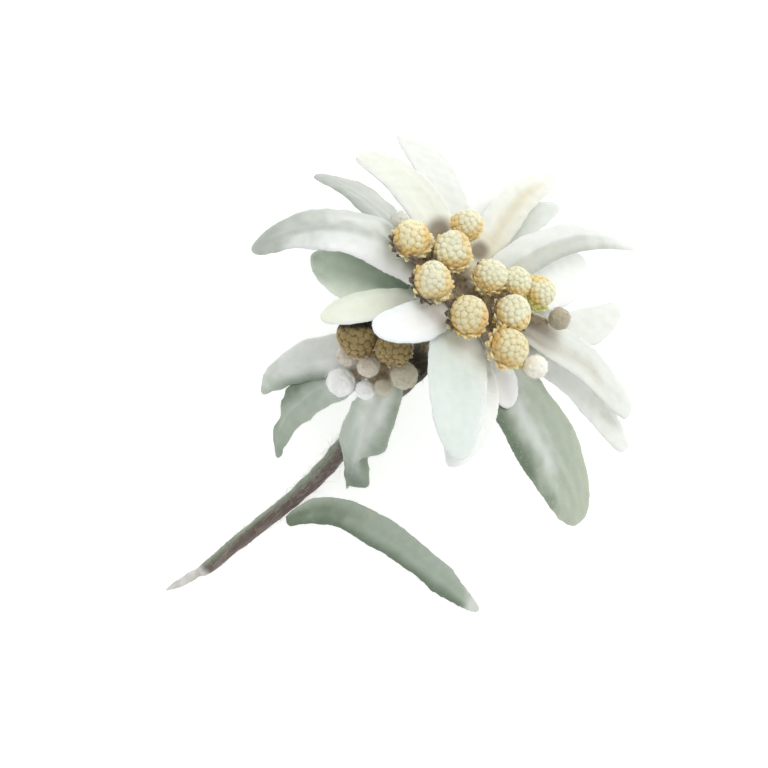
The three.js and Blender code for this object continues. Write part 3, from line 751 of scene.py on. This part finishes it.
# A head of full size: its ball of florets, and how high the ball stands over the cup's rim.
BALL_RADIUS = 2.45 * MM
BALL_MIDDLE = 0.75 * MM
BALL_TOP = 3.1 * MM
FLORET_BALL = BALL_RADIUS * 1.08
FLORETS_END = -0.55  # how far down the ball the florets go, as a share of its radius
BALL_LUMPS = 2.6 * MM
BALL_LUMPINESS = 0.045
GILDING = 0.8
BALL_PACKING = {
    "Count": FLORETS,
    "Radius": FLORET_BALL,
    "Middle": BALL_MIDDLE,
    "First height": 1.0,
    "Last height": FLORETS_END,
    "Unevenness": 0.07,
}
CUP_PACKING = {
    "Count": SCALES,
    "Middle": 0.3 * MM,
    "First height": -0.2,
    "Last height": -0.85,
    "Unevenness": 0.12,
}
CUP_WOOL = {
    "Hairs per square metre": 2e6,
    "Length": 1.3 * MM,
    "Thickness": 0.07 * MM,
    "Lean": 1.3,
    "Crimp": 1.2 * MM,
}


def ringed(name, rings, closed_top):
    """A mesh of rings of points, each ring joined to the next, closed at the bottom and round its top."""
    around = len(rings[0])
    faces = [tuple(reversed(range(around)))]
    for level in range(len(rings) - 1):
        for i in range(around):
            after = (i + 1) % around
            low_ring, high_ring = level * around, (level + 1) * around
            faces.append((low_ring + i, low_ring + after, high_ring + after, high_ring + i))
    last = (len(rings) - 1) * around
    points = [point for ring in rings for point in ring]
    faces += [(last + i, last + (i + 1) % around, len(points)) for i in range(around)]
    mesh = bpy.data.meshes.new(name)
    mesh.from_pydata([*points, closed_top], [], faces)
    mesh.shade_smooth()
    return mesh


def floret_mesh():
    """One tubular floret about Z, with its mouth at z = 0: five puffed lobes round a low style."""
    steps = FLORET_LOBES * 2
    ways = [(math.cos(2 * math.pi * i / steps), math.sin(2 * math.pi * i / steps)) for i in range(steps)]
    rims = [FLORET["notch"] if i % 2 else FLORET["mouth"] for i in range(steps)]
    foot = [FLORET["foot"]] * steps
    throat = [FLORET["throat"]] * steps
    puffed = [rim * 0.76 for rim in rims]
    rings = []
    for reaches, height in ((foot, -FLORET["depth"]), (rims, -FLORET["waist"]),
                            (puffed, FLORET["puff"]), (throat, FLORET["puff"])):
        rings.append([(x * reach, y * reach, height) for (x, y), reach in zip(ways, reaches)])
    mesh = ringed("floret", rings, (0, 0, FLORET["style"]))
    store(mesh, up_floret=[up for up in (0.2, 0.7, 1, 0.5) for _ in range(steps)] + [0.8])
    return mesh


def scale_mesh(size):
    """One blunt scale that stands up along Y from its foot, rounded to the ball that it lies on. Its tip
    curves outwards, or inwards where its curve is below 0."""
    levels = 5
    shares = [level / (levels - 1) for level in range(levels)]
    across = (-1, -0.6, 0, 0.6, 1)
    rings = []
    for share in shares:
        half_width = size["width"] / 2 * math.sqrt(max(1 - share ** 3, 0.1)) * (0.85 + 0.3 * share)
        y = size["length"] * share
        out = size["curve"] * share ** 2
        thick = size["thickness"] * (1 - 0.5 * share)
        ring = [(0, y, out - thick / 2)]
        for side in across:
            x = half_width * side
            ring.append((x, y, out + thick * (1 - side ** 2) - x ** 2 / (2 * BALL_RADIUS)))
        rings.append(ring)
    mesh = ringed("scale", rings, (0, size["length"] * 1.08, size["curve"]))
    store(mesh, up_scale=[share for share in shares for _ in rings[0]] + [1])
    return mesh


def packed():
    """Packs copies of a piece over a ball on a spiral, from one height on it to another, and keeps what is
    given. A copy's Z points out of the ball and its Y points up it."""
    inputs = {
        "Core": ("Geometry", None),
        "Piece": ("Object", None),
        "Count": ("Int", 40),
        "Radius": ("Float", MM),
        "Middle": ("Float", 0.0),
        "First height": ("Float", 1.0),
        "Last height": ("Float", 0.0),
        "Unevenness": ("Float", 0.1),
        "Seed": ("Int", 1),
        "Finish": ("Material", None),
    }
    tree, given, result = new_tree("packed", "GeometryNodeTree", inputs, {"Geometry": "Geometry"})

    def uneven(low, high, offset):
        seed = plus(tree, given["Seed"], offset)
        return times(tree, given["Unevenness"], chance(tree, low, high, seed))

    index = add_node(tree, "GeometryNodeInputIndex").outputs[0]
    share = arithmetic(tree, "DIVIDE", plus(tree, index, 0.5), given["Count"])
    fall = minus(tree, given["Last height"], given["First height"])
    even = plus(tree, given["First height"], times(tree, share, fall))
    height = plus(tree, even, uneven(-0.5, 0.5, 1))
    height = add_node(tree, "ShaderNodeClamp", {"Value": height, "Min": -0.98, "Max": 0.995}).outputs[0]
    squared = times(tree, height, height)
    out = arithmetic(tree, "SQRT", minus(tree, 1, squared))
    golden_angle = math.pi * (3 - math.sqrt(5))
    angle = plus(tree, times(tree, index, golden_angle), uneven(-1, 1, 2))
    cosine = arithmetic(tree, "COSINE", angle)
    sine = arithmetic(tree, "SINE", angle)
    way = combined(tree, X=times(tree, out, cosine), Y=times(tree, out, sine), Z=height)
    beside = combined(tree, X=times(tree, sine, -1), Y=cosine)
    on_ball = vectors(tree, "SCALE", way, given["Radius"])["Vector"]
    place = vectors(tree, "ADD", on_ball, combined(tree, Z=given["Middle"]))["Vector"]
    values = {"Count": given["Count"], "Position": place}
    spots = add_node(tree, "GeometryNodePoints", values).outputs[0]
    settings = {"primary_axis": "Z", "secondary_axis": "X"}
    facing = add_node(tree, "FunctionNodeAxesToRotation", {0: way, 1: beside}, **settings).outputs[0]
    piece = add_node(tree, "GeometryNodeObjectInfo", {"Object": given["Piece"]}).outputs["Geometry"]
    one_size = plus(tree, uneven(-1, 1, 3), 1)
    copies = copied(tree, spots, piece, facing, combined(tree, X=one_size, Y=one_size, Z=one_size))
    luck = chance(tree, 0, 1, plus(tree, given["Seed"], 4))
    for name, value in {"low_down": share, "luck": luck}.items():
        copies = keeping(tree, copies, name, value, domain="INSTANCE")
    give(tree, joined(tree, given["Core"], copies), given["Finish"], result["Geometry"])
    return tree


PACKED = packed()
one_floret = holder_of(floret_mesh(), "one_floret")
one_scale = holder_of(scale_mesh(SCALE), "one_scale")


def head_place(cup_node, floret_node):
    """The matrix of a head's own frame: its origin is in the middle of the cup's rim."""
    cup_points = points_of(merged_copy(cup_node))
    ball_points = points_of(merged_copy(floret_node))
    axis = Vector(ball_points.mean(axis=0) - cup_points.mean(axis=0)).normalized()
    from_middle = ball_points - ball_points.mean(axis=0)
    heights = from_middle @ np.array(axis)
    outwards = np.linalg.norm(from_middle - heights[:, None] * np.array(axis), axis=1)
    size = outwards.max() / BALL_RADIUS
    origin = Vector(ball_points.mean(axis=0)) + axis * (heights.max() - BALL_TOP * size)
    turn = axis.to_track_quat("Z", "Y").to_matrix().to_4x4()
    return Matrix.Translation(origin) @ turn @ Matrix.Scale(size, 4)


def floret_colour(top, middle, low, throat):
    """The florets' colours from the top of the ball to its rim, and inside and between them."""
    def colour(tree):
        low_down = plus(tree, attribute(tree, "low_down"), noise(tree, 420, 2))
        made = blended(tree, fade(tree, low_down, 0.25, 0.55), linear(top), linear(middle))
        made = blended(tree, fade(tree, low_down, 0.5, 0.8), made, linear(low))
        made = blended(tree, attribute(tree, "gilded"), made, linear(low))
        deep = fade(tree, attribute(tree, "up_floret"), 0.8, 0.2)
        made = blended(tree, times(tree, deep, 0.5), made, linear(throat))
        # Painted shade: the florets on a withered head's marked side take the deep shadow's colour.
        return blended(tree, attribute(tree, "browned"), made, linear(STEM_COLOURS["neck"]))
    return colour


def ball_core():
    """The smooth body that the florets stand on, in a head's own frame."""
    body = bmesh.new()
    bmesh.ops.create_icosphere(body, subdivisions=3, radius=FLORET_BALL * 0.95)
    mesh = bpy.data.meshes.new("core")
    body.to_mesh(mesh)
    body.free()
    mesh.shade_smooth()
    points = points_of(mesh)
    low_down = (1 - points[:, 2] / FLORET_BALL) / (1 - FLORETS_END)
    mesh.transform(Matrix.Translation((0, 0, BALL_MIDDLE)))
    store(mesh, low_down=low_down, up_floret=np.full(len(points), 0.45))
    return mesh


def cup_colour(wool_code, yellow_code, gold_code, brown_code):
    """Wool at the foot, yellow to gold up the scales, each by its luck, and dark brown on marked sides: brown
    scale tips, with painted shade on side_head_1's top.
    """
    def colour(tree):
        up = attribute(tree, "up_scale")
        luck = attribute(tree, "luck")
        tip = blended(tree, fade(tree, luck, 0.2, 0.7), linear(yellow_code), linear(gold_code))
        scale = blended(tree, fade(tree, up, 0.1, 0.6), linear(wool_code), tip)
        brown = times(tree, attribute(tree, "browned"), fade(tree, luck, 0.15, 0.25))
        brown = times(tree, brown, fade(tree, up, 0.1, 0.4))
        return blended(tree, brown, scale, linear(brown_code))
    return colour


def towards(points, head, sides, start, end):
    """How far each point is towards some sides of a head, seen from above, from 0 to 1."""
    low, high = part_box(head + "_florets")
    away = (points - np.array((low + high) / 2))[:, :2] / ((high.x - low.x) / 2)
    reaches = [away @ (math.cos(side), math.sin(side)) for side in map(math.radians, sides)]
    return smooth_step(np.max([np.full(len(points), -1.0), *reaches], axis=0), start, end)


FLORET_FINISHES = {
    "pale": floret_colour("EFEDCF", "EFE9C4", "ECD08E", "EAE0B2"),
    "yellow": floret_colour("F4EBC2", "F3E6B1", "ECC97E", "EDD9A0"),
    "golden": floret_colour("EBE2BA", "E9D9A4", "E4C07A", "DFC48A"),
    "withered": floret_colour("A99364", "937B4C", "7D6636", "5A4826"),
}
CUP_FINISHES = {
    "golden": cup_colour("F4EACB", "F6E8B0", "F6D084", "6B6050"),
    "green": cup_colour("EAEAA6", "DCDD7C", "CDD068", "8A8A4C"),
    # Its dark brown is partly the scales' own brown tips, and partly painted shade on side_head_1's top.
    "withered": cup_colour("DCD2B8", "CDBD96", "A8905A", "3A2E16"),
}
floret_skins = {}
for name, colour in FLORET_FINISHES.items():
    floret_skins[name] = finished(name + " florets", colour,
                                  mottling=0.15, roughness=0.7, sheen=0.1, bump=0.35, glow=0.15)
cup_skins = {}
for name, colour in CUP_FINISHES.items():
    cup_skins[name] = finished(name + " cup", colour,
                               mottling=0.15, roughness=0.85, sheen=0.2, bump=0.5, glow=0.6)
# Head by head: its florets, how much wider than the solid they spread, how wide its scales stand, and the
# sides, in degrees round from +X seen from above, where its scales are brown and its florets are gold. On
# side_head_1 the brown side is painted shade: the top that lies under the bracts, dark on florets and scales.
HEADS = {
    "head_1": ("yellow", 1.04, 1.14, (177,), (132, -148, -48)),
    "head_2": ("pale", 1.1, 1.14, (), (142, -83)),
    "head_3": ("pale", 1.06, 1.14, (159,), (-28, -118)),
    "head_4": ("pale", 1.02, 1.16, (167,), (122, -108, -48)),
    "head_5": ("pale", 1.08, 1.14, (52,), (-138, 165)),
    "head_6": ("pale", 1.16, 1.14, (-12,), (-138,)),
    "head_7": ("pale", 1.1, 1.36, (), (42,)),
    "head_8": ("pale", 1.05, 1.16, (89, -104), (-98,)),
    "head_9": ("golden", 1.06, 1.14, (118,), (-68,)),
    "head_10": ("golden", 1.04, 1.16, (), (122, -168)),
    "side_head_1": ("withered", 1.08, 1.1, (42,), ()),
    "side_head_2": ("withered", 1.1, 1.1, (), ()),
}
for number, (head, (tint, spread, flare, brown_shade_sides, gold_sides)) in enumerate(HEADS.items()):
    withered = tint == "withered"
    place = head_place(head + "_cup", head + "_florets")
    skin = floret_skins[tint]
    packing = {**BALL_PACKING, "Piece": one_floret, "Seed": 50 + number, "Finish": skin}
    ball = grown(ball_core(), PACKED, packing)
    points = points_of(ball) - (0, 0, BALL_MIDDLE)
    uneven = spread * (1 + BALL_LUMPINESS * lumps(points, BALL_LUMPS, 400 + number))
    ball.vertices.foreach_set("co", (points * uneven[:, None] + (0, 0, BALL_MIDDLE)).ravel())
    ball.transform(place)
    points = points_of(ball)
    browned = towards(points, head, brown_shade_sides, 0.3, 0.65) if withered else np.zeros(len(points))
    store(ball, browned=browned, gilded=GILDING * towards(points, head, gold_sides, 0.6, 1.0))
    dressed(ball, head + "_florets")

    cup = evenly_faced(merged_copy(head + "_cup"), CUP_FACES)
    put_points(cup, eased(cup, CUP_ROUNDS))
    cup.transform(place.inverted())
    store(cup, woolly=np.ones(len(cup.vertices)))
    skin = cup_skins["withered" if withered else "green" if head == "head_7" else "golden"]
    packing = {**CUP_PACKING, "Piece": one_scale, "Radius": BALL_RADIUS * flare, "Seed": 80 + number}
    cup = grown(cup, PACKED, {**packing, "Finish": skin})
    cup.transform(place)
    store(cup, browned=towards(points_of(cup), head, brown_shade_sides, 0.75, 0.9))
    cup = grown(cup, WOOL, {**CUP_WOOL, "Seed": 200 + number, "Finish": skin})
    dressed(cup, head + "_cup")

# ------------------------------------------------ the closed buds
# Heads that haven't opened: balls of overlapping scales, each wrapped whole in matted wool, which runs from
# white to grey-brown. They stand on short stalks among the open heads.
BUD_FACES = 0.13 * MM
BUD_ROUNDS = 6
BUD_SCALE = {"length": 1.9 * MM, "width": 2.1 * MM, "thickness": 0.16 * MM, "curve": -0.52 * MM}
BUD_PACKING = {
    "Count": SCALES,
    "Radius": BALL_RADIUS * 0.94,
    "Middle": 0.0,
    "First height": 0.75,
    "Last height": -0.8,
    "Unevenness": 0.12,
}
BUD_WOOL = {
    "Hairs per square metre": 4e6,
    "Length": 0.9 * MM,
    "Thickness": 0.04 * MM,
    "Lean": 1.4,
    "Crimp": 0.9 * MM,
}
# The side buds' tints (mauve, lightened brown, pale) are lightened, as painted light against the shade they
# lie in under the star.
BUD_TINTS = {
    "grey": "D8DAD1",
    "brown": "B6AE98",
    "cream": "F8F6EA",
    "tan": "CBC4AF",
    "mauve": "DAD2C2",
    "pale": "FCFDFB",
}
BUDS = {
    "bud_1": "grey",
    "bud_2": "brown",
    "bud_3": "cream",
    "side_bud_1": "mauve",
    "side_bud_2": "mauve",
    "side_bud_3": "tan",
    "side_bud_4": "pale",
    "side_bud_5": "pale",
    "side_bud_6": "tan",
}


def bud_colour(code):
    def colour(tree):
        patches = times(tree, fade(tree, noise(tree, 900, 2), 0.05, 0.3), 0.12)
        return blended(tree, patches, linear(code), linear("9A8D78"))
    return colour


bud_skins = {}
for tint, code in BUD_TINTS.items():
    bud_skins[tint] = finished(tint + " bud wool", bud_colour(code),
                               mottling=0.2, roughness=0.95, sheen=0.25, bump=0.6)
one_bud_scale = holder_of(scale_mesh(BUD_SCALE), "one_bud_scale")
for number, (node, tint) in enumerate(BUDS.items()):
    bud = evenly_faced(merged_copy(node), CUP_FACES)
    put_points(bud, eased(bud, BUD_ROUNDS))
    low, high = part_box(node)
    upwards = Vector(SIDE_AXIS if node.startswith("side") else BLOOM_AXIS)
    turn = upwards.to_track_quat("Z", "Y").to_matrix().to_4x4()
    size = (high.x - low.x) / 2 / BALL_RADIUS
    place = Matrix.Translation((low + high) / 2) @ turn @ Matrix.Scale(size, 4)
    bud.transform(place.inverted())
    skin = bud_skins[tint]
    packing = {**BUD_PACKING, "Piece": one_bud_scale, "Seed": 300 + number, "Finish": skin}
    bud = grown(bud, PACKED, packing)
    bud.transform(place)
    # The wool hides where one scale ends and the next begins.
    bud = evenly_faced(bud, BUD_FACES)
    put_points(bud, eased(bud, BUD_ROUNDS))
    store(bud, woolly=np.ones(len(bud.vertices)))
    dressed(grown(bud, WOOL, {**BUD_WOOL, "Seed": 320 + number, "Finish": skin}), node)
for pattern in (one_floret, one_scale, one_bud_scale):
    bpy.data.objects.remove(pattern)

# ------------------------------------------------ the studio
# A plain pale floor under soft light from the upper right, and the camera looking straight down.
FLOOR_SIZE = 6
FLOOR_GLOW = 0.5
WORLD_STRENGTH = 0.7
VIEW_MIDDLE = Vector((2.48, 3.69, 0)) * MM
VIEW_HEIGHT = 1.0
VIEW_TURN = math.radians(-48)
LENS = 298.6
LAMP_SIZE = 0.9
LAMP_WATTS = 4
LAMP_RIGHT = 0.45
LAMP_UP = 0.5
LAMP_HEIGHT = 0.75
WHITE = (1, 1, 1, 1)

floor_mesh = bpy.data.meshes.new("floor")
half = FLOOR_SIZE / 2
corners = [(-half, -half, 0), (half, -half, 0), (half, half, 0), (-half, half, 0)]
floor_mesh.from_pydata(corners, [], [(0, 1, 2, 3)])
floor = holder_of(floor_mesh, "floor")
floor_finish = bpy.data.materials.new("floor")
floor_finish.use_nodes = True
floor_shader = floor_finish.node_tree.nodes["Principled BSDF"]
floor_shader.inputs["Base Color"].default_value = WHITE
floor_shader.inputs["Roughness"].default_value = 0.9
floor_shader.inputs["Emission Color"].default_value = WHITE
floor_shader.inputs["Emission Strength"].default_value = FLOOR_GLOW
floor_mesh.materials.append(floor_finish)

world = bpy.data.worlds.new("studio")
world.use_nodes = True
world.node_tree.nodes["Background"].inputs["Color"].default_value = WHITE
world.node_tree.nodes["Background"].inputs["Strength"].default_value = WORLD_STRENGTH
bpy.context.scene.world = world

image_right = Vector((math.cos(VIEW_TURN), math.sin(VIEW_TURN), 0))
image_up = Vector((-math.sin(VIEW_TURN), math.cos(VIEW_TURN), 0))
lamp_data = bpy.data.lights.new("window", "AREA")
lamp_data.shape = "DISK"
lamp_data.size = LAMP_SIZE
lamp_data.energy = LAMP_WATTS
lamp = holder_of(lamp_data, "window")
beside = image_right * LAMP_RIGHT + image_up * LAMP_UP
lamp.location = VIEW_MIDDLE + beside + Vector((0, 0, LAMP_HEIGHT))
lamp.rotation_euler = (VIEW_MIDDLE - lamp.location).to_track_quat("-Z", "Y").to_euler()

camera_data = bpy.data.cameras.new("camera")
camera_data.lens = LENS
camera_data.sensor_width = 36
camera_data.clip_start = 0.01
camera_data.clip_end = 20
camera = holder_of(camera_data, "camera")
camera.location = VIEW_MIDDLE + Vector((0, 0, VIEW_HEIGHT))
camera.rotation_euler = (0, 0, VIEW_TURN)
bpy.context.scene.camera = camera
bpy.context.scene.view_settings.view_transform = "Standard"
